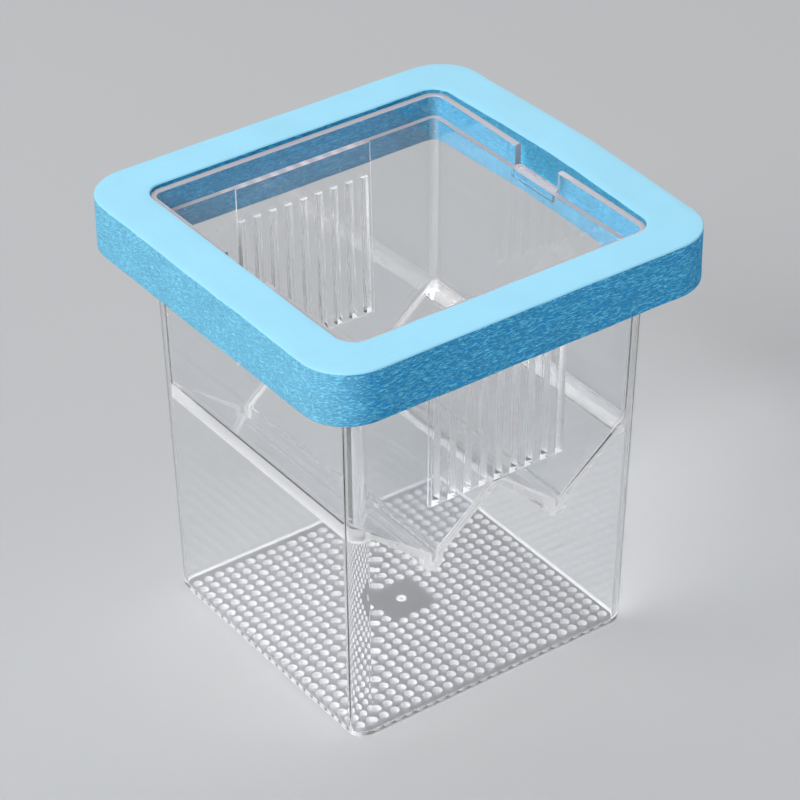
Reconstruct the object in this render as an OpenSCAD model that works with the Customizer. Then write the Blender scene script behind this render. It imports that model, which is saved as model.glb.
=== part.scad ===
// Floating fish breeding box.
// A clear outer box with a perforated floor stands or floats upright. A clear insert hangs in it by two
// tabs that rest in notches of the rim, and has slotted end walls and a W-shaped floor whose channels
// let the fry drop through. A foam ring grips the outside of the rim and floats the whole thing.
// X runs across the notched walls, Y across the slotted walls, Z up. The origin is the middle of the base.

/* [Outer box] */
// Width of the outer box across its rim, along X
box_w = 90; // [80:1:120]
// Depth of the outer box across its rim, along Y
box_d = 88; // [80:1:120]
// Height of the outer box
box_h = 119.2; // [112:0.1:150]
// Thickness of the outer walls
box_wall = 1.7; // [1.2:0.1:2.2]
// How far each wall leans in between the rim and the base
lean = 2.5; // [1:0.1:3.5]
// Outside radius of the upright corners, at the base
corner_r = 4.5; // [4.2:0.1:8]

/* [Perforated floor] */
// Thickness of the floor
floor_t = 1.5; // [1.5:0.1:2.5]
// Diameter of the drain holes
hole_d = 2.4; // [1.6:0.1:2.6]
// Distance between holes along X
hole_pitch_x = 3.34; // [3:0.01:5]
// Distance between holes along Y
hole_pitch_y = 3.16; // [3:0.01:5]
// Least distance from the edge of the base to a hole's centre
hole_margin = 4; // [3.4:0.1:8]
// Width of the plain square in the middle of the floor
patch_w = 11; // [6:1:24]
// Diameter of the gate mark in the middle of the plain square
gate_d = 2.6; // [1.5:0.1:4]
// Height of the gate mark above the floor
gate_h = 0.3; // [0.2:0.1:0.6]

/* [Insert] */
// Clearance between the insert and the inside of the outer box
insert_gap = 0.3; // [0.2:0.05:0.6]
// Thickness of the insert's walls
insert_wall = 1.45; // [1.2:0.05:2]
// How far the insert's rim lies below the outer rim
rim_drop = 5.6; // [4:0.1:8]
// Height of the underside of the ledges along the notched walls
ledge_z = 61; // [56:0.5:70]
// Width of those ledges
ledge_w = 4.3; // [3:0.1:6]

/* [Hanging tabs] */
// Width of each tab
tab_w = 16.4; // [10:0.1:24]
// Thickness of each tab
tab_t = 3; // [2:0.1:4]
// How far short of the box's outer face each tab ends
tab_short = 0.1; // [0:0.1:1]
// Clearance between a tab and each side of its notch
tab_side_gap = 0.4; // [0.2:0.1:1]

/* [Slotted walls] */
// Width of each slot at the inside of the wall
slot_w = 1.5; // [1:0.1:2]
// Width of each slot at the outside of the wall
slot_mouth_w = 2.4; // [2:0.1:3]
// Distance between slots
slot_pitch = 4.71; // [4:0.01:6]
// Width of the slotted panel
panel_w = 41; // [30:0.5:50]
// How much thicker the panel is than the wall
panel_extra = 0.5; // [0.3:0.1:0.8]
// Height of the panel's lower edge above the ledges
panel_rise = 1.9; // [1.5:0.1:4]
// Margin between the panel's lower edge and the slots
slot_foot = 0.4; // [0.3:0.1:2]
// Distance from the insert's rim down to the slots
slot_head = 9.9; // [6:0.1:20]

/* [W-shaped floor] */
// Thickness of the sloping floor
slope_t = 1.5; // [1.2:0.1:2]
// Distance from the middle of the insert to each channel's centre
channel_x = 19.15; // [16:0.05:22]
// Outside width of a channel
channel_w = 5.8; // [5:0.1:7]
// Depth of a channel below the slopes
channel_depth = 4.6; // [3.5:0.1:6]
// Drop from the ledges' underside to the channels' lips
slope_drop = 12.9; // [8:0.1:16]
// Height of the middle ridge's underside above the ledges' underside
ridge_rise = 0.6; // [0:0.1:4]
// Width of the fry slit along the bottom of a channel
slit_w = 1.6; // [1:0.1:2.4]
// Distance from a slit's end to the slotted wall
slit_end = 2.5; // [1.5:0.5:10]

/* [Foam ring] */
// Outside width of the ring along X
ring_w = 115; // [105:1:150]
// Outside depth of the ring along Y
ring_d = 111; // [105:1:150]
// Height of the ring
ring_h = 14.7; // [10:0.1:30]
// How far the ring's top stands above the rim
ring_proud = 1.2; // [0:0.1:5]
// Radius of the ring's outer corners
ring_outer_r = 12.5; // [6:0.5:20]
// Radius of the ring's inner corners
ring_inner_r = 5.5; // [4.8:0.1:8]
// Clearance between the ring and the rim
ring_gap = 0.3; // [0.2:0.05:0.6]

/* [Hidden] */
clear_tint = [0.82, 0.86, 0.9, 0.5];
insert_tint = [0.72, 0.8, 0.88, 0.6];
foam_tint = [0.45, 0.76, 0.93];
corner_fn = 32;
eps = 0.01;
// Outer box
base_w = box_w - 2 * lean;
base_d = box_d - 2 * lean;
// Insert
insert_inset = box_wall + insert_gap;
cavity_inset = insert_inset + insert_wall;
insert_top = box_h - rim_drop;
notch_floor_z = insert_top - tab_t;
notch_w = tab_w + 2 * tab_side_gap;
// W-shaped floor, heights of its underside
lip_z = ledge_z - slope_drop;
ridge_z = ledge_z + ridge_rise;
channel_half = channel_w / 2;
channel_bottom = lip_z - channel_depth;
insert_half = half_width(ledge_z) - insert_inset;
slope_top_x = insert_half - ledge_w;
inner_run = channel_x - channel_half;
outer_run = slope_top_x - channel_x - channel_half;
inner_angle = atan((ridge_z - lip_z) / inner_run);
outer_angle = atan(slope_drop / outer_run);
inner_lift = slope_t / cos(inner_angle);
outer_lift = slope_t / cos(outer_angle);
// Slots
panel_z = ledge_z + panel_rise;
slot_z = panel_z + slot_foot;
slot_h = insert_top - slot_head - slot_z;
slot_count = 1 + 2 * floor((panel_w / 2 - slot_mouth_w / 2) / slot_pitch);
// Drain holes
columns = 2 * floor((base_w / 2 - hole_margin) / hole_pitch_x + 0.5);
rows = 2 * floor((base_d / 2 - hole_margin) / hole_pitch_y + 0.5);
// Foam ring
ring_top = box_h + ring_proud;
ring_low = ring_top - ring_h;

// Half the outer box's width and depth at a height
function half_width(z) = box_w / 2 - lean * (1 - z / box_h);
function half_depth(z) = box_d / 2 - lean * (1 - z / box_h);

// Rectangle with round corners
module rounded(w, d, r) {
    square([w - 2 * r, d], center = true);
    square([w, d - 2 * r], center = true);
    for (x = [-1, 1], y = [-1, 1])
        translate([x * (w / 2 - r), y * (d / 2 - r)])
            circle(r, $fn = corner_fn);
}

// Block that leans as the outer box does, with its sides moved in by inset
module leaning_block(inset) {
    hull() {
        linear_extrude(eps)
            rounded(base_w - 2 * inset, base_d - 2 * inset, corner_r - inset);
        translate([0, 0, box_h - eps])
            linear_extrude(eps)
                rounded(box_w - 2 * inset, box_d - 2 * inset, corner_r - inset);
    }
}

// Everything between two heights
module slab(z_low, z_high) {
    span = 2 * (box_w + box_d);
    translate([-span / 2, -span / 2, z_low])
        cube([span, span, z_high - z_low]);
}

// Outline in X and Z carried along Y through the whole insert
module along_y(length) {
    translate([0, length / 2, 0])
        rotate([90, 0, 0])
            linear_extrude(length)
                children();
}

// Drain holes in rows and columns, none within the plain square
module drain_holes() {
    for (i = [0 : columns - 1], j = [0 : rows - 1]) {
        x = (i - (columns - 1) / 2) * hole_pitch_x;
        y = (j - (rows - 1) / 2) * hole_pitch_y;
        if (max(abs(x), abs(y)) > patch_w / 2)
            translate([x, y])
                circle(d = hole_d, $fn = 24);
    }
}

// Notch through both walls across X, open at the rim
module rim_notches() {
    translate([-box_w, -notch_w / 2, notch_floor_z])
        cube([2 * box_w, notch_w, box_h]);
}

// Slots through both walls across Y, wider at the outside
module slots() {
    reach = box_d / 2;
    inner_y = half_depth(slot_z) - cavity_inset - panel_extra;
    outer_y = inner_y + insert_wall + panel_extra;
    flare = (slot_mouth_w - slot_w) / 2 / (outer_y - inner_y);
    far_half = slot_w / 2 + flare * (reach - inner_y);
    near_half = slot_w / 2 - flare;
    for (k = [0 : slot_count - 1], side = [0, 180])
        rotate([0, 0, side])
            translate([(k - (slot_count - 1) / 2) * slot_pitch, 0, slot_z])
                linear_extrude(slot_h)
                    polygon([
                        [-near_half, inner_y - 1],
                        [near_half, inner_y - 1],
                        [far_half, reach],
                        [-far_half, reach]
                    ]);
}

// Everything above the insert's underside, as an outline in X and Z
module above_underside() {
    far = box_w;
    polygon([
        [-far, ledge_z],
        [-slope_top_x, ledge_z],
        [-channel_x - channel_half, lip_z],
        [-inner_run, lip_z],
        [0, ridge_z],
        [inner_run, lip_z],
        [channel_x + channel_half, lip_z],
        [slope_top_x, ledge_z],
        [far, ledge_z],
        [far, box_h],
        [-far, box_h]
    ]);
    for (s = [-1, 1])
        translate([s * channel_x, 0]) {
            translate([-channel_half, channel_bottom + channel_half])
                square([channel_w, channel_depth - channel_half + eps]);
            translate([0, channel_bottom + channel_half])
                circle(channel_half, $fn = corner_fn);
        }
}

// Everything above the insert's floor, as an outline in X and Z
module above_floor() {
    far = box_w;
    bore_half = channel_half - slope_t;
    outer_rise = outer_lift - slope_t * tan(outer_angle);
    inner_rise = inner_lift - slope_t * tan(inner_angle);
    wall_x = slope_top_x + 2 * ledge_w;
    wall_z = ledge_z + outer_lift + 2 * ledge_w * tan(outer_angle);
    for (s = [-1, 1])
        mirror([s < 0 ? 1 : 0, 0])
            polygon([
                [-eps, ridge_z + inner_lift],
                [0, ridge_z + inner_lift],
                [channel_x - bore_half, lip_z + inner_rise],
                [channel_x - bore_half, channel_bottom + channel_half],
                [channel_x + bore_half, channel_bottom + channel_half],
                [channel_x + bore_half, lip_z + outer_rise],
                [wall_x, wall_z],
                [far, wall_z],
                [far, box_h],
                [-eps, box_h]
            ]);
    for (s = [-1, 1])
        translate([s * channel_x, channel_bottom + channel_half])
            circle(bore_half, $fn = corner_fn);
}

// Both hanging tabs, from the insert's walls out into the notches
module hanging_tabs() {
    inner_x = half_width(notch_floor_z) - insert_inset - insert_wall / 2;
    outer_x = half_width(notch_floor_z) - tab_short;
    for (s = [-1, 1])
        translate([s * (inner_x + outer_x) / 2, 0, notch_floor_z + tab_t / 2])
            cube([outer_x - inner_x, tab_w, tab_t], center = true);
}

// Space enclosed by the insert's four walls, narrower where the slotted panels are thicker
module insert_cavity() {
    difference() {
        leaning_block(cavity_inset);
        difference() {
            slab(panel_z, box_h);
            leaning_block(cavity_inset + panel_extra);
            for (s = [-1, 1])
                translate([s * (panel_w / 2 + box_w / 2), 0, box_h / 2])
                    cube([box_w, 2 * box_d, 2 * box_h], center = true);
        }
    }
}

module outer_box_walls() {
    color(clear_tint)
        difference() {
            intersection() {
                leaning_block(0);
                slab(floor_t, box_h);
            }
            intersection() {
                leaning_block(box_wall);
                slab(0, box_h + 1);
            }
            rim_notches();
        }
}

module outer_box_floor() {
    color(clear_tint)
        union() {
            linear_extrude(floor_t)
                difference() {
                    rounded(base_w, base_d, corner_r);
                    drain_holes();
                }
            translate([0, 0, floor_t])
                cylinder(h = gate_h, d = gate_d, $fn = 32);
        }
}

module insert_walls() {
    color(insert_tint)
        union() {
            difference() {
                intersection() {
                    leaning_block(insert_inset);
                    slab(0, insert_top);
                    along_y(2 * box_d)
                        above_underside();
                }
                insert_cavity();
                slots();
            }
            hanging_tabs();
        }
}

module insert_floor() {
    color(insert_tint)
        difference() {
            intersection() {
                leaning_block(cavity_inset);
                along_y(2 * box_d)
                    difference() {
                        above_underside();
                        above_floor();
                    }
            }
            for (s = [-1, 1])
                translate([s * channel_x, 0, channel_bottom])
                    cube([slit_w, 2 * (half_depth(channel_bottom) - cavity_inset - slit_end), channel_w], center = true);
        }
}

module float_ring() {
    color(foam_tint)
        translate([0, 0, ring_low])
            linear_extrude(ring_h)
                difference() {
                    rounded(ring_w, ring_d, ring_outer_r);
                    rounded(box_w + 2 * ring_gap, box_d + 2 * ring_gap, ring_inner_r);
                }
}

outer_box_walls();
outer_box_floor();
insert_walls();
insert_floor();
float_ring();
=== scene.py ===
"""Floating fish breeding box: a clear outer box with a perforated floor, a clear insert and a foam ring.

Shapes are written in millimetres, in the frame of the CAD model, and each mesh is made in metres.
X runs across the notched walls, Y across the slotted walls and Z up, from the middle of the base.
"""

import math

import bmesh
import bpy
from mathutils import Matrix, Vector, noise


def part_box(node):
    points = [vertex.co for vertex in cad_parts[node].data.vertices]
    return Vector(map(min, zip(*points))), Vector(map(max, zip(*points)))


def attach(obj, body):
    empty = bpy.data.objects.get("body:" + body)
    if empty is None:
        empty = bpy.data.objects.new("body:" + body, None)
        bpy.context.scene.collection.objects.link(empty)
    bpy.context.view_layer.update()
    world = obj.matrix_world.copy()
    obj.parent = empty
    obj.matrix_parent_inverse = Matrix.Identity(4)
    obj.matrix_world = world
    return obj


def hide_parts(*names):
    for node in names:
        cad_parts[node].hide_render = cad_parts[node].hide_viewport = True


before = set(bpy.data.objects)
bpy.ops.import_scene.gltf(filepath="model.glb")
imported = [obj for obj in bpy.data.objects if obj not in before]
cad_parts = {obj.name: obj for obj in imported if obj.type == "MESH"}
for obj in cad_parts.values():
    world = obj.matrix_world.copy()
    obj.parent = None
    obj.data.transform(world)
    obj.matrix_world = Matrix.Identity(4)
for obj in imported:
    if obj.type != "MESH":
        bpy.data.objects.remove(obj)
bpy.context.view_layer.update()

MM = 0.001
WELD = 0.002 * MM
NEAR = 0.001  # places closer than this are the same place


def node_box(node):
    """Lowest and highest corner of a CAD node, in millimetres."""
    low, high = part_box(node)
    return low / MM, high / MM


# Sizes that the frame gives
WALLS_LOW, WALLS_HIGH = node_box("outer_box_walls")
BASE_LOW, BASE_HIGH = node_box("outer_box_floor")
INSERT_LOW, INSERT_HIGH = node_box("insert_walls")
RING_LOW, RING_HIGH = node_box("float_ring")
BOX_TOP = WALLS_HIGH.z
FLOOR_T = WALLS_LOW.z
INSERT_TOP = INSERT_HIGH.z
TAB_END = INSERT_HIGH.x

# Outer box
BOX_WALL = 1.7
CORNER_R = 4.5
CORNER_STEPS = 8
BASE_ROUND = 1.5
FOOT_ROUND = 0.5
RIM_ROUND = 0.35
ROUND_STEPS = 4

# Perforated floor
HOLE_R = 1.2
HOLE_CHAMFER = 0.06
HOLE_SIDES = 20
HOLE_COUNT = 24
PITCH_X = 3.34
PITCH_Y = 3.16
PLAIN_CELLS = 4
GATE_PROFILE = [(1.3, 0.0), (1.2, 0.3), (0.78, 0.3), (0.66, 0.1), (0.3, 0.06)]
GATE_SIDES = 24

# Insert
INSERT_INSET = 2.0
INSERT_WALL = 1.45
CAVITY_INSET = INSERT_INSET + INSERT_WALL
INSERT_R = CORNER_R - INSERT_INSET
INSERT_STEPS = 6
INSERT_BEVEL = 0.18
INSERT_BEVEL_ANGLE = 35
TAB_T = 3.0
TAB_HALF = 8.2
NOTCH_HALF = 8.6
NOTCH_FLOOR = INSERT_TOP - TAB_T
TAB_GAP = 0.03
TAB_FOOT = NOTCH_FLOOR + TAB_GAP

# Slotted panels
PANEL_HALF = 20.5
PANEL_STEP = 0.5
PANEL_INSET = CAVITY_INSET + PANEL_STEP
PANEL_Z = 62.9
SLOT_Z = 63.3
SLOT_TOP = 103.7
SLOT_PITCH = 4.71
SLOT_COUNT = 9
SLOT_HALF = 0.75
SLOT_MOUTH_HALF = 1.2

# W-shaped floor
SLOPE_T = 1.5
LEDGE_Z = 61.0
LEDGE_R = 1.5
LIP_Z = 48.1
LIP_R = 0.9
LIP_UNDER_R = 0.7
RIDGE_Z = 61.6
RIDGE_R = 2.6
RIDGE_UNDER_R = 0.8
SLOPE_TOP_X = 37.48
CHANNEL_X = 19.15
CHANNEL_R = 2.9
CHANNEL_MID_Z = 46.4
BORE_R = CHANNEL_R - SLOPE_T
SLIT_HALF = 0.8
SLIT_END = 36.4

# Widths of the strips of the W that have a finish of their own
SEAM = 0.6
CREST_HALF = 1.9
SHEET_LINE = 0.75
SHEET_LINE_TAPER = 1.0
SHEET_LINE_TOP = PANEL_Z - 0.05

# Foam ring
RING_OUTER_R = 12.5
RING_INNER_R = 5.5
RING_INNER_GAP = 0.3
RING_EDGE = 0.45
RING_EDGE_STEPS = 3
RING_HEIGHT_STEPS = 8
RING_FACE_STEPS = 6
RING_SIDE_STEPS = 48
RING_CORNER_STEPS = 14
RING_LIP = 0.1
RING_LIP_RISE = 0.4
RING_BOW = 1.45
RING_BOW_START = 30
RING_BOW_FULL = 45
RING_BOW_SHAPE = 1.5
RING_UNEVENNESS = 0.12
RING_UNEVENNESS_SPACING = 9
RING_SEED = 7

# Slots of the finishes: the clear pieces', then the foam's
CLEAR, EDGE, PLATE, HOLE, FOOT, RIM, CORNER, CAP, BAND = range(9)
SKIN, CUT, INSIDE = range(3)


# Mesh building


class Faces:
    """Faces given by their corners in millimetres, welded into one closed mesh."""

    def __init__(self):
        self.points = []
        self.faces = []
        self.slots = []

    def add(self, corners, slot=0):
        first = len(self.points)
        self.points.extend(corners)
        self.faces.append(list(range(first, first + len(corners))))
        self.slots.append(slot)

    def strip(self, ring_a, ring_b, slot=0, skip=None):
        """Quads between two closed rings of as many points."""
        count = len(ring_a)
        for i in range(count):
            j = (i + 1) % count
            corners = [ring_a[i], ring_a[j], ring_b[j], ring_b[i]]
            if skip is None or not skip(corners):
                self.add(corners, slot)

    def piece(self, name, materials, sharp_angle=40):
        mesh = bpy.data.meshes.new(name)
        mesh.from_pydata([Vector(p) * MM for p in self.points], [], self.faces)
        mesh.polygons.foreach_set("material_index", self.slots)
        bm = bmesh.new()
        bm.from_mesh(mesh)
        bmesh.ops.remove_doubles(bm, verts=bm.verts, dist=WELD)
        bmesh.ops.recalc_face_normals(bm, faces=bm.faces)
        for edge in bm.edges:
            edge.smooth = edge.calc_face_angle(0) < math.radians(sharp_angle)
        for face in bm.faces:
            face.smooth = True
        bm.to_mesh(mesh)
        bm.free()
        for material in materials:
            mesh.materials.append(material)
        piece = bpy.data.objects.new(name, mesh)
        bpy.context.scene.collection.objects.link(piece)
        return piece


def weigh_normals(piece):
    """Large flat faces keep their own normal, and the small faces at their edges turn to it."""
    modifier = piece.modifiers.new("weighted normals", "WEIGHTED_NORMAL")
    modifier.keep_sharp = True


def steps(first, last, count):
    return [first + (last - first) * i / count for i in range(count + 1)]


def arc(centre, radius, first, last, count):
    """Points of an arc in the plane, with its angles in degrees."""
    return [
        (centre[0] + radius * math.cos(math.radians(a)), centre[1] + radius * math.sin(math.radians(a)))
        for a in steps(first, last, count)
    ]


def rounded_sections(half_x, half_y, radius, cuts_x, cuts_y, count):
    """Sides and corner arcs of a rounded rectangle, anticlockwise from the side at +X."""
    mid_x = half_x - radius
    mid_y = half_y - radius
    sides = [
        [(half_x, y) for y in cuts_y],
        [(x, half_y) for x in reversed(cuts_x)],
        [(-half_x, y) for y in reversed(cuts_y)],
        [(x, -half_y) for x in cuts_x],
    ]
    centres = [(mid_x, mid_y), (-mid_x, mid_y), (-mid_x, -mid_y), (mid_x, -mid_y)]
    arcs = [arc(c, radius, 90 * i, 90 * (i + 1), count) for i, c in enumerate(centres)]
    return sides, arcs


def rounded_ring(z, sections):
    sides, arcs = sections
    return [(x, y, z) for side, corner in zip(sides, arcs) for x, y in side + corner]


def half_x(z):
    """Half the outer box's width at a height."""
    return BASE_HIGH.x + (WALLS_HIGH.x - BASE_HIGH.x) * z / BOX_TOP


def half_y(z):
    """Half the outer box's depth at a height."""
    return BASE_HIGH.y + (WALLS_HIGH.y - BASE_HIGH.y) * z / BOX_TOP


# Outer box


def grid_lines(pitch):
    return [(i - HOLE_COUNT / 2) * pitch for i in range(HOLE_COUNT + 1)]


GRID_X = grid_lines(PITCH_X)
GRID_Y = grid_lines(PITCH_Y)
CUTS_X = GRID_X[1:-1]
CUTS_Y = sorted(GRID_Y[1:-1] + [-NOTCH_HALF, NOTCH_HALF])


def box_sections(z, inset):
    radius = CORNER_R - inset
    return rounded_sections(half_x(z) - inset, half_y(z) - inset, radius, CUTS_X, CUTS_Y, CORNER_STEPS)


def quarter(first_z, first_inset, turn_z, turn_inset):
    """Heights and insets round a quarter circle that starts by moving in height or inset."""
    points = []
    for i in range(ROUND_STEPS + 1):
        a = math.pi / 2 * i / ROUND_STEPS
        points.append((first_z + turn_z * math.sin(a), first_inset + turn_inset * (1 - math.cos(a))))
    return points


def wall_profile():
    """Height and inset of each ring, from the foot's underside up the outside, over the rim and down."""
    foot = [(z, inset) for z, inset in reversed(quarter(BASE_ROUND, 0, -BASE_ROUND, BASE_ROUND))]
    rim_out = quarter(BOX_TOP - RIM_ROUND, 0, RIM_ROUND, RIM_ROUND)
    rim_in = reversed(quarter(BOX_TOP - RIM_ROUND, BOX_WALL, RIM_ROUND, -RIM_ROUND))
    inside = quarter(FLOOR_T + FOOT_ROUND, BOX_WALL, -FOOT_ROUND, FOOT_ROUND)
    return foot + [(NOTCH_FLOOR, 0)] + rim_out + list(rim_in) + [(NOTCH_FLOOR, BOX_WALL)] + inside


def in_notch(point):
    x, y, z = point
    return abs(x) > GRID_X[-1] / 2 and abs(y) < NOTCH_HALF + NEAR and z > NOTCH_FLOOR - NEAR


def box_walls(faces):
    rings = [rounded_ring(z, box_sections(z, inset)) for z, inset in wall_profile()]
    for low, high in zip(rings, rings[1:]):
        z = min(low[0][2], high[0][2])
        slot = CLEAR
        if z > BOX_TOP - RIM_ROUND - NEAR:
            slot = RIM
        elif z < BASE_ROUND - NEAR:
            slot = FOOT
        faces.strip(low, high, slot, skip=lambda corners: all(in_notch(p) for p in corners))
    for side in (-1, 1):
        edge = [[p for p in ring if in_notch(p) and p[0] * side > 0] for ring in rings]
        edge = [sorted(points, key=lambda p: p[1]) for points in edge if points]
        faces.add(edge[0] + edge[-1][::-1], RIM)
        faces.add([points[0] for points in edge], RIM)
        faces.add([points[-1] for points in edge], RIM)


def pierced_cell(faces, centre, reach, loop, z, middles=False):
    """Triangles from the corners of a cell to a loop of points inside it."""
    corners = [
        (centre[0] + sx * reach[0], centre[1] + sy * reach[1], z)
        for sx, sy in ((1, 1), (-1, 1), (-1, -1), (1, -1))
    ]
    quarter_count = len(loop) // 4
    for q, corner in enumerate(corners):
        for k in range(q * quarter_count, (q + 1) * quarter_count):
            faces.add([loop[k], corner, loop[(k + 1) % len(loop)]], PLATE)
        before = corners[q - 1]
        facing = loop[q * quarter_count]
        if middles:
            middle = tuple((a + b) / 2 for a, b in zip(before, corner))
            faces.add([before, middle, facing], PLATE)
            faces.add([middle, corner, facing], PLATE)
        else:
            faces.add([before, corner, facing], PLATE)


def circle(centre, radius, z, sides):
    return [(x, y, z) for x, y in arc(centre, radius, 0, 360, sides)[:-1]]


def drain_hole(faces, centre):
    rings = [
        circle(centre, HOLE_R + HOLE_CHAMFER, 0, HOLE_SIDES),
        circle(centre, HOLE_R, HOLE_CHAMFER, HOLE_SIDES),
        circle(centre, HOLE_R, FLOOR_T - HOLE_CHAMFER, HOLE_SIDES),
        circle(centre, HOLE_R + HOLE_CHAMFER, FLOOR_T, HOLE_SIDES),
    ]
    for low, high in zip(rings, rings[1:]):
        faces.strip(low, high, HOLE)
    reach = (PITCH_X / 2, PITCH_Y / 2)
    pierced_cell(faces, centre, reach, rings[0], 0)
    pierced_cell(faces, centre, reach, rings[-1], FLOOR_T)


def gate_mark(faces):
    """The low ring that the moulding's gate leaves in the middle of the floor."""
    rings = [circle((0, 0), r, FLOOR_T + rise, GATE_SIDES) for r, rise in GATE_PROFILE]
    pierced_cell(faces, (0, 0), (PITCH_X, PITCH_Y), rings[0], FLOOR_T, middles=True)
    for low, high in zip(rings, rings[1:]):
        faces.strip(low, high, HOLE)
    faces.add(rings[-1], PLATE)


def perforated_floor(faces):
    middle = HOLE_COUNT // 2
    plain = range(middle - PLAIN_CELLS // 2, middle + PLAIN_CELLS // 2)
    gate = range(middle - 1, middle + 1)
    for i in range(HOLE_COUNT):
        for j in range(HOLE_COUNT):
            x0, x1 = GRID_X[i : i + 2]
            y0, y1 = GRID_Y[j : j + 2]
            if i not in plain or j not in plain:
                drain_hole(faces, ((x0 + x1) / 2, (y0 + y1) / 2))
                continue
            for z in (0, FLOOR_T):
                if z == 0 or i not in gate or j not in gate:
                    faces.add([(x0, y0, z), (x1, y0, z), (x1, y1, z), (x0, y1, z)], PLATE)
    gate_mark(faces)


def floor_margin(faces, z, inset):
    """The plain border between the rows of holes and the walls."""
    sides, arcs = box_sections(z, inset)
    edge_x = GRID_X[-1]
    edge_y = GRID_Y[-1]
    grid_sides = [
        [(edge_x, y) for y in CUTS_Y if y in GRID_Y],
        [(x, edge_y) for x in reversed(CUTS_X)],
        [(-edge_x, y) for y in reversed(CUTS_Y) if y in GRID_Y],
        [(x, -edge_y) for x in CUTS_X],
    ]
    grid_corners = [(edge_x, edge_y), (-edge_x, edge_y), (-edge_x, -edge_y), (edge_x, -edge_y)]
    for q in range(4):
        along = 1 - q % 2
        for a, b in zip(grid_sides[q], grid_sides[q][1:]):
            low, high = sorted((a[along], b[along]))
            outer = [p for p in sides[q] if low <= p[along] <= high]
            faces.add([(x, y, z) for x, y in [a, b] + outer[::-1]], PLATE)
        following = (q + 1) % 4
        fan = [grid_sides[q][-1], sides[q][-1]] + arcs[q]
        fan += [sides[following][0], grid_sides[following][0]]
        for a, b in zip(fan, fan[1:]):
            faces.add([(x, y, z) for x, y in (grid_corners[q], a, b)], PLATE)


def make_outer_box(finishes):
    faces = Faces()
    box_walls(faces)
    perforated_floor(faces)
    floor_margin(faces, 0, BASE_ROUND)
    floor_margin(faces, FLOOR_T, BOX_WALL + FOOT_ROUND)
    box = faces.piece("outer_box", finishes)
    weigh_normals(box)
    return box


# Insert


def fillet(before, corner, after, radius, count=5):
    """An arc of that radius in place of the corner between three points of an outline."""
    before, corner, after = Vector(before), Vector(corner), Vector(after)
    to_before = (before - corner).normalized()
    to_after = (after - corner).normalized()
    half_angle = to_before.angle(to_after) / 2
    reach = radius / math.tan(half_angle)
    centre = corner + (to_before + to_after).normalized() * (radius / math.sin(half_angle))
    start = corner + to_before * reach - centre
    turn = math.pi - 2 * half_angle
    if start.x * to_after.y - start.y * to_after.x < 0:
        turn = -turn
    points = []
    for i in range(count + 1):
        a = turn * i / count
        c, s = math.cos(a), math.sin(a)
        points.append((centre.x + c * start.x - s * start.y, centre.y + s * start.x + c * start.y))
    return points


def channel_bottom(radius):
    """The round bottom of a channel, with a point at each edge of its slit."""
    centre = (CHANNEL_X, CHANNEL_MID_Z)
    opening = math.degrees(math.asin(SLIT_HALF / radius))
    left = arc(centre, radius, 180, 270 - opening, 5)
    bottom = arc(centre, radius, 270 - opening, 270 + opening, 4)
    right = arc(centre, radius, 270 + opening, 360, 5)
    return left[:-1] + bottom + right[1:]


def w_outline(radius, ridge, lip_in, lip_out, beyond, ridge_round, lip_round):
    """Right half of a W in X and Z, from the ridge to beyond the outer slope's top."""
    inner_lip = (CHANNEL_X - radius, lip_in)
    outer_lip = (CHANNEL_X + radius, lip_out)
    channel = channel_bottom(radius)
    outline = fillet((-inner_lip[0], inner_lip[1]), (0, ridge), inner_lip, ridge_round, 8)[4:]
    outline += fillet((0, ridge), inner_lip, channel[0], lip_round)
    outline += channel
    outline += fillet(channel[-1], outer_lip, beyond[0], lip_round)
    return outline


def slope_angles():
    inner = math.atan((RIDGE_Z - LIP_Z) / (CHANNEL_X - CHANNEL_R))
    outer = math.atan((LEDGE_Z - LIP_Z) / (SLOPE_TOP_X - CHANNEL_X - CHANNEL_R))
    return inner, outer


def underside():
    """Right half of the insert's underside."""
    ledge = [(SLOPE_TOP_X, LEDGE_Z), (half_x(LEDGE_Z) - INSERT_INSET - INSERT_R, LEDGE_Z)]
    outline = w_outline(CHANNEL_R, RIDGE_Z, LIP_Z, LIP_Z, ledge, RIDGE_UNDER_R, LIP_UNDER_R)
    outline += fillet((CHANNEL_X + CHANNEL_R, LIP_Z), ledge[0], ledge[1], LEDGE_R)
    return outline + ledge[1:]


def floor_height(x):
    """Height of the outer slope's upper face."""
    outer = slope_angles()[1]
    return LEDGE_Z + SLOPE_T / math.cos(outer) + (abs(x) - SLOPE_TOP_X) * math.tan(outer)


def upper_face():
    """Right half of the floor's upper face."""
    inner, outer = slope_angles()
    ridge = RIDGE_Z + SLOPE_T / math.cos(inner)
    lip_in = ridge - (CHANNEL_X - BORE_R) * math.tan(inner)
    lip_out = floor_height(CHANNEL_X + BORE_R)
    end_x = half_x(floor_height(SLOPE_TOP_X)) - INSERT_INSET - INSERT_R
    end = [(x, floor_height(x)) for x in (end_x - SHEET_LINE_TAPER, end_x)]
    return w_outline(BORE_R, ridge, lip_in, lip_out, end, RIDGE_R, LIP_R) + end


def mirrored(outline):
    """A right half with its left half before it, and the point in the middle kept once."""
    return [(-x, z) for x, z in reversed(outline)] + outline[1:]


def corner_columns(inset, radius, z):
    """Points round the corner at +X and +Y at a height, from the side at +Y to the one at +X."""
    centre = (half_x(z) - inset - radius, half_y(z) - inset - radius)
    return arc(centre, radius, 90, 0, INSERT_STEPS)


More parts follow.
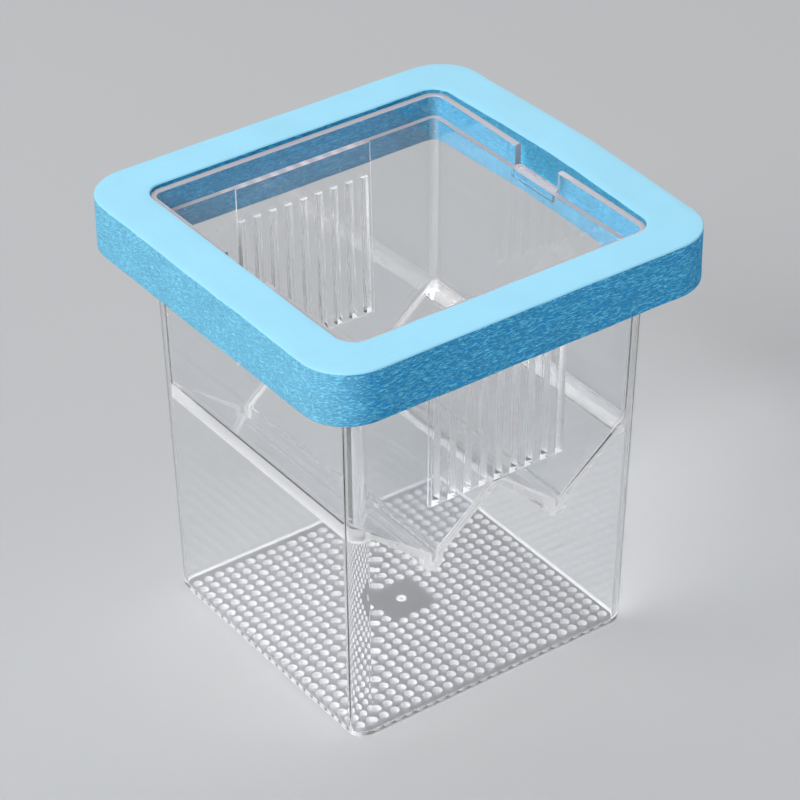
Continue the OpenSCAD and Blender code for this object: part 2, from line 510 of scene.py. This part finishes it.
def cup_edge(outline, inset, radius, height):
    """Bottom edge of one face of the walls at +Y, from -X to +X, with its corners."""
    edge = [(x, half_y(z) - inset, z) for x, z in outline]
    corner = []
    for k, (x, _) in enumerate(corner_columns(inset, radius, outline[-1][1])):
        z = height(x)
        if k > 0:
            corner.append((*corner_columns(inset, radius, z)[k], z))
    return [(-x, y, z) for x, y, z in reversed(corner)] + edge + corner


def raised_outline(outline):
    """The floor's upper outline moved up to the top of the bright line, apart from its two ends."""
    raised = outline[:1]
    for before, (x, z), after in zip(outline, outline[1:], outline[2:]):
        along = (Vector(after) - Vector(before)).normalized()
        raised.append((x - along.y * SHEET_LINE, min(z + along.x * SHEET_LINE, SHEET_LINE_TOP)))
    return raised + outline[-1:]


def sheet_line(faces, side, outline, raised):
    """The bright line that the sheet's end draws on the outside of a slotted wall."""
    for a, b, c, d in zip(outline, outline[1:], raised[1:], raised):
        corners = [a, b, c, d]
        if a == d:
            corners = [a, b, c]
        elif b == c:
            corners = [a, b, d]
        faces.add(on_wall(side, INSERT_INSET, corners), CAP)


def band_height(x):
    """Top of the strip outside the walls that has the sheet behind it."""
    return floor_height(min(x, half_x(LEDGE_Z) - CAVITY_INSET))


def sheet_band(faces, low, high):
    """The strip of the walls' outside that has the sheet behind it, all round the insert."""
    n = INSERT_STEPS
    for sy in (-1, 1):
        faces.add([(x, sy * y, z) for x, y, z in low[n:-n] + high[n:-n][::-1]], BAND)
        for sx in (-1, 1):
            for quad in zip(low[-n - 1 :], low[-n:], high[-n:], high[-n - 1 :]):
                faces.add([(sx * x, sy * y, z) for x, y, z in quad], EDGE)
    (x_low, y_low, z_low), (x_high, y_high, z_high) = low[-1], high[-1]
    for sx in (-1, 1):
        face = [(x_low, -y_low, z_low), (x_low, y_low, z_low)]
        face += [(x_high, y_high, z_high), (x_high, -y_high, z_high)]
        faces.add([(sx * x, y, z) for x, y, z in face], EDGE)


def at_slit(point):
    return point[2] < CHANNEL_MID_Z and abs(abs(point[0]) - CHANNEL_X) < SLIT_HALF + NEAR


def slit_edge(point):
    return at_slit(point) and abs(abs(point[0]) - CHANNEL_X) > SLIT_HALF - NEAR


def cup_bottom(faces, edge, seam):
    """The sheet between the bottom edges of the two slotted walls, open along the channels' slits.

    Along each wall it has a seam as wide as given. The seams and the crest have the finish of an edge.
    """

    def across(a, b, y_a, y_b, end_a, end_b, slot):
        """Two faces, one near each wall, between two points of the edge."""
        strip = [(a[0], y_a, a[2]), (a[0], end_a, a[2]), (b[0], end_b, b[2]), (b[0], y_b, b[2])]
        for side in (-1, 1):
            faces.add([(x, side * y, z) for x, y, z in strip], slot)

    for a, b in zip(edge, edge[1:]):
        ends_a, ends_b = a[1] - seam, b[1] - seam
        across(a, b, a[1], b[1], ends_a, ends_b, EDGE)
        if at_slit(a) and at_slit(b):
            across(a, b, ends_a, ends_b, SLIT_END, SLIT_END, CLEAR)
            continue
        crest = max(abs(a[0]), abs(b[0])) < CREST_HALF
        loop = []
        for (x, _, z), end, direction in ((a, ends_a, 1), (b, ends_b, -1)):
            stations = [-end, -SLIT_END, SLIT_END, end] if slit_edge((x, 0, z)) else [-end, end]
            loop += [(x, y, z) for y in stations[::direction]]
        faces.add(loop, EDGE if crest else CLEAR)


def slit_walls(faces, lower, upper):
    for side in (-1, 1):
        low = [(x, z) for x, y, z in lower if at_slit((x, y, z)) and x * side > 0]
        high = [(x, z) for x, y, z in upper if at_slit((x, y, z)) and x * side > 0]
        for y in (-SLIT_END, SLIT_END):
            faces.add([(x, y, z) for x, z in low + high[::-1]], EDGE)
        for end in (0, -1):
            (x, z_low), z_high = low[end], high[end][1]
            face = [(x, -SLIT_END, z_low), (x, SLIT_END, z_low)]
            face += [(x, SLIT_END, z_high), (x, -SLIT_END, z_high)]
            faces.add(face, EDGE)


def slot_edges(half):
    """X of every slot edge, from -X to +X."""
    middles = [(k - (SLOT_COUNT - 1) / 2) * SLOT_PITCH for k in range(SLOT_COUNT)]
    return [m + s * half for m in middles for s in (-1, 1)]


def on_wall(side, inset, points):
    """Points in X and Z put on a slotted wall's face."""
    return [(x, side * (half_y(z) - inset), z) for x, z in points]


def wall_face(faces, side, outline, inset, radius):
    """A slotted wall's face round its panel."""
    top_end = half_x(INSERT_TOP) - inset - radius
    points = outline + [(top_end, INSERT_TOP), (PANEL_HALF, INSERT_TOP), (PANEL_HALF, PANEL_Z)]
    points += [(-PANEL_HALF, PANEL_Z), (-PANEL_HALF, INSERT_TOP), (-top_end, INSERT_TOP)]
    faces.add(on_wall(side, inset, points))


def panel_face(faces, side, inset, slot_half):
    edges = [-PANEL_HALF] + slot_edges(slot_half) + [PANEL_HALF]
    foot = [(x, SLOT_Z) for x in edges]
    head = [(x, SLOT_TOP) for x in edges]
    faces.add(on_wall(side, inset, [(-PANEL_HALF, PANEL_Z), (PANEL_HALF, PANEL_Z)] + foot[::-1]))
    faces.add(on_wall(side, inset, [(PANEL_HALF, INSERT_TOP), (-PANEL_HALF, INSERT_TOP)] + head))
    for i in range(0, len(edges), 2):
        faces.add(on_wall(side, inset, [foot[i], foot[i + 1], head[i + 1], head[i]]))


def panel_step(faces, side):
    """The step from the wall's inside up to the panel."""

    def both(points, back_points):
        return on_wall(side, CAVITY_INSET, points) + on_wall(side, PANEL_INSET, back_points)

    low = [(-PANEL_HALF, PANEL_Z), (PANEL_HALF, PANEL_Z)]
    faces.add(both(low, low[::-1]), BAND)
    for x in (-PANEL_HALF, PANEL_HALF):
        column = [(x, INSERT_TOP), (x, SLOT_TOP), (x, SLOT_Z), (x, PANEL_Z)]
        faces.add(both([(x, PANEL_Z), (x, INSERT_TOP)], column), BAND)


def slot_sides(faces, side):
    outer = slot_edges(SLOT_MOUTH_HALF)
    inner = slot_edges(SLOT_HALF)
    for i in range(0, len(outer), 2):
        for x_out, x_in in ((outer[i], inner[i]), (outer[i + 1], inner[i + 1])):
            column = on_wall(side, INSERT_INSET, [(x_out, SLOT_Z), (x_out, SLOT_TOP)])
            # Painted highlight: the two outermost slot sides get the milkier sheet-end finish, so they
            # stand out whiter than the other slot sides
            slot = BAND if x_out in (outer[0], outer[-1]) else CORNER
            faces.add(column + on_wall(side, PANEL_INSET, [(x_in, SLOT_TOP), (x_in, SLOT_Z)]), slot)
        for z in (SLOT_Z, SLOT_TOP):
            end = on_wall(side, INSERT_INSET, [(outer[i], z), (outer[i + 1], z)])
            faces.add(end + on_wall(side, PANEL_INSET, [(inner[i + 1], z), (inner[i], z)]), CAP)


def corner_walls(faces, edge, inset, radius, slot=CLEAR):
    """The round upright corners of one face of the walls."""
    top = corner_columns(inset, radius, INSERT_TOP)
    bottom = edge[-INSERT_STEPS - 1 :]
    for a, b, low_a, low_b in zip(top, top[1:], bottom, bottom[1:]):
        for sx in (-1, 1):
            for sy in (-1, 1):
                column = [low_a, low_b, (*b, INSERT_TOP), (*a, INSERT_TOP)]
                faces.add([(sx * x, sy * y, z) for x, y, z in column], slot)


def notched_wall_faces(faces, outer_edge, inner_edge):
    """Both faces of the walls across X, with the hanging tabs."""
    outer_top = corner_columns(INSERT_INSET, INSERT_R, INSERT_TOP)[-1]
    inner_top = corner_columns(CAVITY_INSET, INSERT_R - INSERT_WALL, INSERT_TOP)[-1]
    tab_foot = half_x(TAB_FOOT) - INSERT_INSET
    for side in (-1, 1):

        def put(points, slot=CLEAR):
            faces.add([(side * x, y, z) for x, y, z in points], slot)

        x, y, z = outer_edge[-1]
        face = [(x, -y, z), (x, y, z), (*outer_top, INSERT_TOP), (outer_top[0], TAB_HALF, INSERT_TOP)]
        face += [(tab_foot, TAB_HALF, TAB_FOOT), (tab_foot, -TAB_HALF, TAB_FOOT)]
        face += [(outer_top[0], -TAB_HALF, INSERT_TOP), (outer_top[0], -outer_top[1], INSERT_TOP)]
        put(face)
        x, y, z = inner_edge[-1]
        put([(x, -y, z), (x, y, z), (*inner_top, INSERT_TOP), (inner_top[0], -inner_top[1], INSERT_TOP)])
        tab = [(tab_foot, TAB_FOOT), (TAB_END, TAB_FOOT), (TAB_END, INSERT_TOP), (outer_top[0], INSERT_TOP)]
        for y in (-TAB_HALF, TAB_HALF):
            put([(x, y, z) for x, z in tab])
        for x_in, z in (tab[0], tab[-1]):
            flat = [(x_in, -TAB_HALF), (TAB_END, -TAB_HALF), (TAB_END, TAB_HALF), (x_in, TAB_HALF)]
            put([(x, y, z) for x, y in flat])
        tip = [(-TAB_HALF, TAB_FOOT), (TAB_HALF, TAB_FOOT), (TAB_HALF, INSERT_TOP), (-TAB_HALF, INSERT_TOP)]
        put([(TAB_END, y, z) for y, z in tip])


def insert_rim(faces):
    """The flat top of the insert's walls."""
    outer = corner_columns(INSERT_INSET, INSERT_R, INSERT_TOP)
    inner = corner_columns(CAVITY_INSET, INSERT_R - INSERT_WALL, INSERT_TOP)
    wall_y = half_y(INSERT_TOP) - INSERT_INSET
    cavity_y = half_y(INSERT_TOP) - CAVITY_INSET
    panel_y = half_y(INSERT_TOP) - PANEL_INSET

    def put(points):
        faces.add([(x, y, INSERT_TOP) for x, y in points], RIM)

    for sy in (-1, 1):
        middle = [(PANEL_HALF, wall_y), (-PANEL_HALF, wall_y), (-PANEL_HALF, cavity_y)]
        middle += [(-PANEL_HALF, panel_y), (PANEL_HALF, panel_y), (PANEL_HALF, cavity_y)]
        put([(x, sy * y) for x, y in middle])
        for sx in (-1, 1):
            end = [outer[0], (PANEL_HALF, wall_y), (PANEL_HALF, cavity_y), inner[0]]
            put([(sx * x, sy * y) for x, y in end])
            for a, b, c, d in zip(outer, outer[1:], inner[1:], inner):
                put([(sx * x, sy * y) for x, y in (a, b, c, d)])
    for sx in (-1, 1):
        x_out, y_out = outer[-1]
        x_in, y_in = inner[-1]
        side = [(x_out, y) for y in (-y_out, -TAB_HALF, TAB_HALF, y_out)] + [(x_in, y_in), (x_in, -y_in)]
        put([(sx * x, y) for x, y in side])


def make_insert(finishes):
    faces = Faces()
    lower = mirrored(underside())
    upper = mirrored(upper_face())
    raised = raised_outline(upper)
    cavity_r = INSERT_R - INSERT_WALL
    outer_edge = cup_edge(lower, INSERT_INSET, INSERT_R, lambda x: LEDGE_Z)
    band_edge = cup_edge(upper, INSERT_INSET, INSERT_R, band_height)
    inner_edge = cup_edge(upper, CAVITY_INSET, cavity_r, floor_height)
    cup_bottom(faces, outer_edge, SEAM + INSERT_WALL)
    cup_bottom(faces, inner_edge, SEAM)
    slit_walls(faces, outer_edge, inner_edge)
    sheet_band(faces, outer_edge, band_edge)
    for side in (-1, 1):
        sheet_line(faces, side, upper, raised)
        wall_face(faces, side, raised, INSERT_INSET, INSERT_R)
        wall_face(faces, side, upper, CAVITY_INSET, cavity_r)
        panel_face(faces, side, INSERT_INSET, SLOT_MOUTH_HALF)
        panel_face(faces, side, PANEL_INSET, SLOT_HALF)
        panel_step(faces, side)
        slot_sides(faces, side)
    corner_walls(faces, band_edge, INSERT_INSET, INSERT_R, CORNER)
    corner_walls(faces, inner_edge, CAVITY_INSET, cavity_r)
    notched_wall_faces(faces, band_edge, inner_edge)
    insert_rim(faces)
    insert = faces.piece("insert", finishes)
    bevel = insert.modifiers.new("moulded edges", "BEVEL")
    bevel.width = INSERT_BEVEL * MM
    bevel.segments = 2
    bevel.material = EDGE
    bevel.limit_method = "ANGLE"
    bevel.angle_limit = math.radians(INSERT_BEVEL_ANGLE)
    weigh_normals(insert)
    return insert


# Foam ring


def ring_side_profile():
    """Height and inset of the ring's side, round both edges, and whether the skin starts there."""
    low, high = RING_LOW.z, RING_HIGH.z
    edge = [math.radians(a) for a in steps(0, 90, RING_EDGE_STEPS)]
    edge = [(RING_EDGE * (1 - math.sin(a)), RING_EDGE * (1 - math.cos(a))) for a in edge]
    profile = [(low + rise, inset, False) for rise, inset in reversed(edge)]
    profile += [(z, 0, False) for z in steps(low + RING_EDGE, high - RING_EDGE, RING_HEIGHT_STEPS)[1:-1]]
    return profile + [(high - rise, inset, True) for rise, inset in edge]


def ring_loop(half, radius, inset, z):
    cuts_x = steps(radius - half[0], half[0] - radius, RING_SIDE_STEPS)[1:-1]
    cuts_y = steps(radius - half[1], half[1] - radius, RING_SIDE_STEPS)[1:-1]
    half_x, half_y = half[0] - inset, half[1] - inset
    sections = rounded_sections(half_x, half_y, radius - inset, cuts_x, cuts_y, RING_CORNER_STEPS)
    return rounded_ring(z, sections)


def between(ring_a, ring_b, share):
    return [tuple(p + (q - p) * share for p, q in zip(a, b)) for a, b in zip(ring_a, ring_b)]


def lip(z):
    """How far the foam springs back inward above the rim that it is stretched over."""
    return RING_LIP * min(1.0, max(0.0, (z - BOX_TOP) / RING_LIP_RISE))


def bow(place, half_length):
    """How far the ring's side at +X stands outward at a point, where the tab pushes on it."""
    reach = min(1.0, max(0.0, (place.x - RING_BOW_START) / (RING_BOW_FULL - RING_BOW_START)))
    swell = max(0.0, math.cos(math.pi / 2 * place.y / half_length)) ** RING_BOW_SHAPE
    return Vector((RING_BOW * reach * swell, 0, 0))


def make_ring(finishes):
    outer_half = (RING_HIGH.x, RING_HIGH.y)
    inner_half = (WALLS_HIGH.x + RING_INNER_GAP, WALLS_HIGH.y + RING_INNER_GAP)
    profile = ring_side_profile()
    outer = [ring_loop(outer_half, RING_OUTER_R, inset, z) for z, inset, _ in profile]
    inner = [ring_loop(inner_half, RING_INNER_R, lip(z) - inset, z) for z, inset, _ in profile]
    top = [between(outer[-1], inner[-1], share) for share in steps(0, 1, RING_FACE_STEPS)]
    bottom = [between(inner[0], outer[0], share) for share in steps(0, 1, RING_FACE_STEPS)]
    faces = Faces()
    for rings, side in ((outer, CUT), (inner, INSIDE)):
        for low, high, (_, _, skinned) in zip(rings, rings[1:], profile):
            faces.strip(low, high, SKIN if skinned else side)
    for rings in (top, bottom):
        for a, b in zip(rings, rings[1:]):
            faces.strip(a, b, SKIN)
    ring = faces.piece("float_ring_foam", finishes, sharp_angle=60)
    noise.seed_set(RING_SEED)
    for vertex in ring.data.vertices:
        place = vertex.co / MM
        uneven = noise.noise_vector(place / RING_UNEVENNESS_SPACING) * RING_UNEVENNESS
        vertex.co += (bow(place, inner_half[1]) + uneven) * MM
    return ring


# Finishes

SPECK_SPACING = 4.5
SPECK_R = 0.16
SPECKS_LEFT_OUT = 0.62
PLASTIC_WAVES = 0.12
PLASTIC_IOR = 1.55
LAMP_LIGHT_PASSED = (0.95, 0.95, 0.95)
FOAM_ROUGHNESS = 0.75
FOAM_SHEEN_ROUGHNESS = 0.4


def new_material(name):
    material = bpy.data.materials.new(name)
    material.use_nodes = True
    nodes = material.node_tree.nodes
    nodes.clear()
    shader = nodes.new("ShaderNodeBsdfPrincipled")
    output = nodes.new("ShaderNodeOutputMaterial")
    material.node_tree.links.new(shader.outputs["BSDF"], output.inputs["Surface"])
    return material, shader, output


def node(tree, kind, sockets=None, **settings):
    """A new node with properties, and with its sockets set to a value or linked to another's output."""
    made = tree.nodes.new(kind)
    for name, value in settings.items():
        setattr(made, name, value)
    for name, value in (sockets or {}).items():
        if isinstance(value, bpy.types.NodeSocket):
            tree.links.new(value, made.inputs[name])
        else:
            made.inputs[name].default_value = value
    return made


def new_group(name, inputs, outputs):
    """An empty node group with named sockets, and its input and output nodes."""
    group = bpy.data.node_groups.new(name, "ShaderNodeTree")
    for direction, sockets in (("INPUT", inputs), ("OUTPUT", outputs)):
        for socket, kind in sockets.items():
            group.interface.new_socket(socket, in_out=direction, socket_type="NodeSocket" + kind)
    return group, group.nodes.new("NodeGroupInput"), group.nodes.new("NodeGroupOutput")


def place_group(tree, group, **sockets):
    placed = tree.nodes.new("ShaderNodeGroup")
    placed.node_tree = group
    for name, value in sockets.items():
        name = name.replace("_", " ")
        if isinstance(value, bpy.types.NodeSocket):
            tree.links.new(value, placed.inputs[name])
        else:
            placed.inputs[name].default_value = value
    return placed


def stretched_noise(tree, vector, size, detail=2.0, distortion=0.0):
    """Noise whose lumps are as long as size says, in millimetres along X, Y and Z."""
    scale = [1 / (length * MM) for length in size]
    scaled = node(tree, "ShaderNodeMapping", {"Vector": vector, "Scale": scale})
    sockets = {"Vector": scaled.outputs[0], "Scale": 1.0, "Detail": detail, "Distortion": distortion}
    return node(tree, "ShaderNodeTexNoise", sockets).outputs["Fac"]


def window(tree, value, first, last, low=0.0, high=1.0):
    """A value moved from first..last to low..high, and held at the ends."""
    sockets = {"Value": value, "From Min": first, "From Max": last, "To Min": low, "To Max": high}
    return node(tree, "ShaderNodeMapRange", sockets).outputs["Result"]


def maths(tree, operation, a, b):
    return node(tree, "ShaderNodeMath", {0: a, 1: b}, operation=operation).outputs[0]


def mix_colours(tree, share, first, second):
    sockets = {0: share, 6: first, 7: second}
    return node(tree, "ShaderNodeMix", sockets, data_type="RGBA").outputs[2]


def bump(tree, distance, height):
    """A normal from a height, whose full step is as deep as distance says, in millimetres."""
    sockets = {"Strength": 1.0, "Distance": distance * MM, "Height": height}
    return node(tree, "ShaderNodeBump", sockets).outputs["Normal"]


def wear_group():
    """Handling marks of moulded plastic: slow waves, hairlines, haze and specks of dust."""
    group, given, result = new_group(
        "moulding_and_wear",
        {"Vector": "Vector", "Waves": "Float", "Hairlines": "Float", "Haze": "Float", "Roughness": "Float"},
        {"Height": "Float", "Roughness": "Float"},
    )
    vector = given.outputs["Vector"]
    waves = stretched_noise(group, vector, (26, 26, 40))
    height = maths(group, "MULTIPLY", waves, given.outputs["Waves"])
    level_hair = stretched_noise(group, vector, (16, 16, 0.35), 1.0, 1.2)
    upright_hair = stretched_noise(group, vector, (0.4, 0.4, 14), 1.0, 1.0)
    level_lines = window(group, level_hair, 0.70, 0.73)
    upright_lines = window(group, upright_hair, 0.72, 0.75)
    lines = maths(group, "MAXIMUM", level_lines, upright_lines)
    lines = maths(group, "MULTIPLY", lines, given.outputs["Hairlines"])
    cloud = stretched_noise(group, vector, (18, 18, 18), 4.0)
    haze = maths(group, "MULTIPLY", window(group, cloud, 0.45, 0.7), given.outputs["Haze"])
    spaced = node(group, "ShaderNodeMapping", {"Vector": vector, "Scale": [1 / (SPECK_SPACING * MM)] * 3})
    cells = node(group, "ShaderNodeTexVoronoi", {"Vector": spaced.outputs[0], "Scale": 1.0})
    near = window(group, cells.outputs["Distance"], SPECK_R / SPECK_SPACING, 0.5 * SPECK_R / SPECK_SPACING)
    kept = maths(group, "GREATER_THAN", cells.outputs["Color"], SPECKS_LEFT_OUT)
    specks = maths(group, "MULTIPLY", near, kept)
    rough = maths(group, "ADD", given.outputs["Roughness"], haze)
    rough = maths(group, "ADD", rough, lines)
    rough = maths(group, "ADD", rough, specks)
    group.links.new(height, result.inputs["Height"])
    group.links.new(rough, result.inputs["Roughness"])
    return group


def clear_plastic(name, wear, tint, roughness, milkiness, hairlines=0.25, haze=0.05):
    """Clear polystyrene that lets lamps through, so that it shades what is behind it only a little."""
    material, shader, output = new_material(name)
    tree = material.node_tree
    shader.inputs["Base Color"].default_value = (*tint, 1)
    shader.inputs["IOR"].default_value = PLASTIC_IOR
    shader.inputs["Transmission Weight"].default_value = 1 - milkiness
    coords = node(tree, "ShaderNodeTexCoord")
    marks = place_group(
        tree,
        wear,
        Vector=coords.outputs["Object"],
        Waves=PLASTIC_WAVES,
        Hairlines=hairlines,
        Haze=haze,
        Roughness=roughness,
    )
    tree.links.new(marks.outputs["Roughness"], shader.inputs["Roughness"])
    tree.links.new(bump(tree, 1, marks.outputs["Height"]), shader.inputs["Normal"])
    ray = node(tree, "ShaderNodeLightPath").outputs["Is Shadow Ray"]
    lamp_light = node(tree, "ShaderNodeBsdfTransparent", {"Color": (*LAMP_LIGHT_PASSED, 1)}).outputs["BSDF"]
    mix = node(tree, "ShaderNodeMixShader", {0: ray, 1: shader.outputs["BSDF"], 2: lamp_light})
    tree.links.new(mix.outputs["Shader"], output.inputs["Surface"])
    return material


def plastic_finishes():
    """The finishes of the clear pieces, in the order of their slots."""
    wear = wear_group()
    polished = {"hairlines": 0.06, "haze": 0.03}

    def finish(name, tint, roughness, milkiness, **marks):
        return clear_plastic("clear_plastic" + name, wear, tint, roughness, milkiness, **marks)

    return [
        finish("", (0.965, 0.97, 0.975), 0.015, 0.006, **polished),
        finish("_edge", (0.95, 0.945, 0.96), 0.3, 0.36),
        # Painted shade: the perforated floor's flats are tinted dark grey, darkening all that is seen
        # through them, so that they read darker than the clear walls
        finish("_plate_painted_shade", (0.30, 0.30, 0.32), 0.40, 0.40),
        finish("_hole", (0.70, 0.70, 0.72), 0.5, 0.85),
        finish("_foot", (0.95, 0.95, 0.96), 0.3, 0.72),
        finish("_rim", (0.90, 0.82, 0.87), 0.3, 0.45),
        finish("_corner", (0.95, 0.95, 0.96), 0.06, 0.14, **polished),
        finish("_slot_end", (0.97, 0.97, 0.98), 0.4, 0.85),
        finish("_sheet_end", (0.96, 0.955, 0.97), 0.25, 0.7),
    ]


def foam_group():
    """Closed-cell foam: flecks of opened cells that run along the sheet, over a slow change of colour, with
    painted light that turns the colour lighter between two places along X.
    """
    group, given, result = new_group(
        "foam_cells",
        {
            "Vector": "Vector",
            "Colour": "Color",
            "Fleck Colour": "Color",
            "Faded Colour": "Color",
            "Flecks": "Float",
            "Fading": "Float",
            "Fades From": "Float",
            "Fades To": "Float",
            "Mottle": "Float",
        },
        {"Colour": "Color", "Height": "Float"},
    )
    vector = given.outputs["Vector"]
    short = stretched_noise(group, vector, (1.3, 1.1, 0.22), 2.0, 0.7)
    grit = stretched_noise(group, vector, (0.5, 0.45, 0.25), 1.0, 0.5)
    wavy = window(group, short, 0.40, 0.57)
    flecks = maths(group, "MULTIPLY", wavy, window(group, grit, 0.36, 0.50, 0.75, 1.0))
    share = maths(group, "MULTIPLY", flecks, given.outputs["Flecks"])
    flecked = mix_colours(group, share, given.outputs["Colour"], given.outputs["Fleck Colour"])
    cloud = stretched_noise(group, vector, (14, 14, 7), 3.0)
    bright = window(group, cloud, 0.25, 0.75, -1.0, 1.0)
    bright = maths(group, "MULTIPLY", bright, given.outputs["Mottle"])
    bright = maths(group, "ADD", bright, 1.0)
    # Painted light: between two places along X the colour turns towards a lighter one, for the sides that
    # face the key lamp
    place = node(group, "ShaderNodeSeparateXYZ", {"Vector": vector})
    painted_light = window(group, place.outputs["X"], given.outputs["Fades From"], given.outputs["Fades To"])
    painted_light = maths(group, "MULTIPLY", painted_light, given.outputs["Fading"])
    painted_light_colour = mix_colours(group, painted_light, flecked, given.outputs["Faded Colour"])
    shade = node(group, "ShaderNodeVectorMath", {0: painted_light_colour, 3: bright}, operation="SCALE")
    group.links.new(shade.outputs[0], result.inputs["Colour"])
    group.links.new(flecks, result.inputs["Height"])
    return group


def foam(name, cells, colours, flecks, painted_light_share, painted_light_x, mottle, relief, sheen=0, shine=0.1):
    """Blue foam of a colour, a fleck colour and a lighter colour of painted light, mixed in between two
    places along X where the key lamp falls on the side.
    """
    colour, fleck_colour, painted_light_colour = colours
    material, shader, _ = new_material(name)
    tree = material.node_tree
    shader.inputs["Roughness"].default_value = FOAM_ROUGHNESS
    shader.inputs["Sheen Weight"].default_value = sheen
    shader.inputs["Sheen Roughness"].default_value = FOAM_SHEEN_ROUGHNESS
    shader.inputs["Specular IOR Level"].default_value = shine
    coords = node(tree, "ShaderNodeTexCoord")
    grain = place_group(
        tree,
        cells,
        Vector=coords.outputs["Object"],
        Colour=(*colour, 1),
        Fleck_Colour=(*fleck_colour, 1),
        Faded_Colour=(*painted_light_colour, 1),
        Flecks=flecks,
        Fading=painted_light_share,
        Fades_From=painted_light_x[0] * MM,
        Fades_To=painted_light_x[1] * MM,
        Mottle=mottle,
    )
    tree.links.new(grain.outputs["Colour"], shader.inputs["Base Color"])
    tree.links.new(bump(tree, relief, grain.outputs["Height"]), shader.inputs["Normal"])
    return material


def foam_finishes():
    """The finishes of the foam ring, in the order of their slots."""
    cells = foam_group()
    # Painted light: the cut side at low X and the inside at high X face the key lamp and are painted
    # lighter there
    painted_light_at_low_x = (-46, -57)
    painted_light_at_high_x = (36, 45)
    skin = foam(
        "foam_skin",
        cells,
        ((0.30, 0.645, 0.83), (0.36, 0.70, 0.88), (0.30, 0.645, 0.83)),
        flecks=0.12,
        painted_light_share=0,
        painted_light_x=painted_light_at_low_x,
        mottle=0.03,
        relief=0.004,
        sheen=0.25,
        shine=0.3,
    )
    cut_side = foam(
        "foam_cut_side",
        cells,
        ((0.022, 0.325, 0.755), (0.145, 0.635, 0.985), (0.52, 1.0, 1.0)),
        flecks=1,
        painted_light_share=0.3,
        painted_light_x=painted_light_at_low_x,
        mottle=0.05,
        relief=0.28,
    )
    # Painted shade: the inside faces are the same cut foam as the outer sides, given darker blues for the
    # shade in the narrow gap against the box's walls
    inner_side = foam(
        "foam_inner_side_painted_shade",
        cells,
        ((0.01, 0.245, 0.54), (0.058, 0.455, 0.785), (0.45, 0.95, 1.0)),
        flecks=1,
        painted_light_share=0.16,
        painted_light_x=painted_light_at_high_x,
        mottle=0.05,
        relief=0.28,
    )
    return [skin, cut_side, inner_side]


# Stage: its floor and lights are placed in metres, and the camera in millimetres

FLOOR_SIZE = 12
FLOOR_COLOUR = (0.45, 0.455, 0.465)
FLOOR_ROUGHNESS = 0.7
ROOM_COLOUR = (0.80, 0.82, 0.84)
ROOM_LIGHT = 0.42
LIGHTS_AIM = (0, 0, 0.06)
CAMERA_AZIMUTH = 35.590
CAMERA_ELEVATION = 33.850
CAMERA_ROLL = -0.472
CAMERA_TARGET = (-5.284, -8.357, 70.478)
CAMERA_DISTANCE = 817.53
CAMERA_LENS = 147.7
CAMERA_SENSOR = 36
CAMERA_CLIP_START = 0.01
MOST_BOUNCES = 32


def pale_floor_material():
    material, shader, _ = new_material("pale_floor")
    shader.inputs["Base Color"].default_value = (*FLOOR_COLOUR, 1)
    shader.inputs["Roughness"].default_value = FLOOR_ROUGHNESS
    return material


def make_stage():
    bpy.ops.mesh.primitive_plane_add(size=FLOOR_SIZE, location=(0, 0, 0))
    floor = bpy.context.object
    floor.name = "studio_floor"
    floor.data.materials.append(pale_floor_material())
    world = bpy.data.worlds.new("studio")
    bpy.context.scene.world = world
    world.use_nodes = True
    background = world.node_tree.nodes["Background"]
    background.inputs["Color"].default_value = (*ROOM_COLOUR, 1)
    background.inputs["Strength"].default_value = ROOM_LIGHT


def soft_light(name, place, size, power):
    light = bpy.data.lights.new(name, "AREA")
    light.shape = "SQUARE"
    light.size = size
    light.energy = power
    lamp = bpy.data.objects.new(name, light)
    lamp.location = place
    lamp.rotation_euler = (Vector(LIGHTS_AIM) - lamp.location).to_track_quat("-Z", "Y").to_euler()
    bpy.context.scene.collection.objects.link(lamp)


def make_lights():
    soft_light("key_softbox", (-1.15, -0.1, 1.0), size=0.7, power=20)
    soft_light("fill_softbox", (0.5, -1.2, 0.6), size=0.9, power=5.5)
    soft_light("back_softbox", (0.62, 0.87, 0.82), size=1.3, power=6.5)


def make_camera():
    azimuth = math.radians(CAMERA_AZIMUTH)
    elevation = math.radians(CAMERA_ELEVATION)
    roll = math.radians(CAMERA_ROLL)
    forward = Vector((
        math.sin(azimuth) * math.cos(elevation),
        math.cos(azimuth) * math.cos(elevation),
        -math.sin(elevation),
    ))
    data = bpy.data.cameras.new("camera")
    data.sensor_width = CAMERA_SENSOR
    data.lens = CAMERA_LENS
    data.clip_start = CAMERA_CLIP_START
    camera = bpy.data.objects.new("camera", data)
    camera.location = (Vector(CAMERA_TARGET) - forward * CAMERA_DISTANCE) * MM
    level = forward.to_track_quat("-Z", "Y")
    camera.rotation_euler = (level.to_matrix() @ Matrix.Rotation(roll, 3, "Z")).to_euler()
    bpy.context.scene.collection.objects.link(camera)
    bpy.context.scene.camera = camera


def main():
    scene = bpy.context.scene
    scene.view_settings.view_transform = "Standard"
    scene.cycles.max_bounces = MOST_BOUNCES
    scene.cycles.transmission_bounces = MOST_BOUNCES
    scene.cycles.transparent_max_bounces = MOST_BOUNCES
    make_camera()
    make_stage()
    make_lights()
    plastic = plastic_finishes()
    outer_box = make_outer_box(plastic)
    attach(outer_box, "outer_box")
    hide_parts("outer_box_walls", "outer_box_floor")
    insert = make_insert(plastic)
    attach(insert, "insert")
    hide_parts("insert_walls", "insert_floor")
    ring = make_ring(foam_finishes())
    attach(ring, "float_ring")
    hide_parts("float_ring")


main()
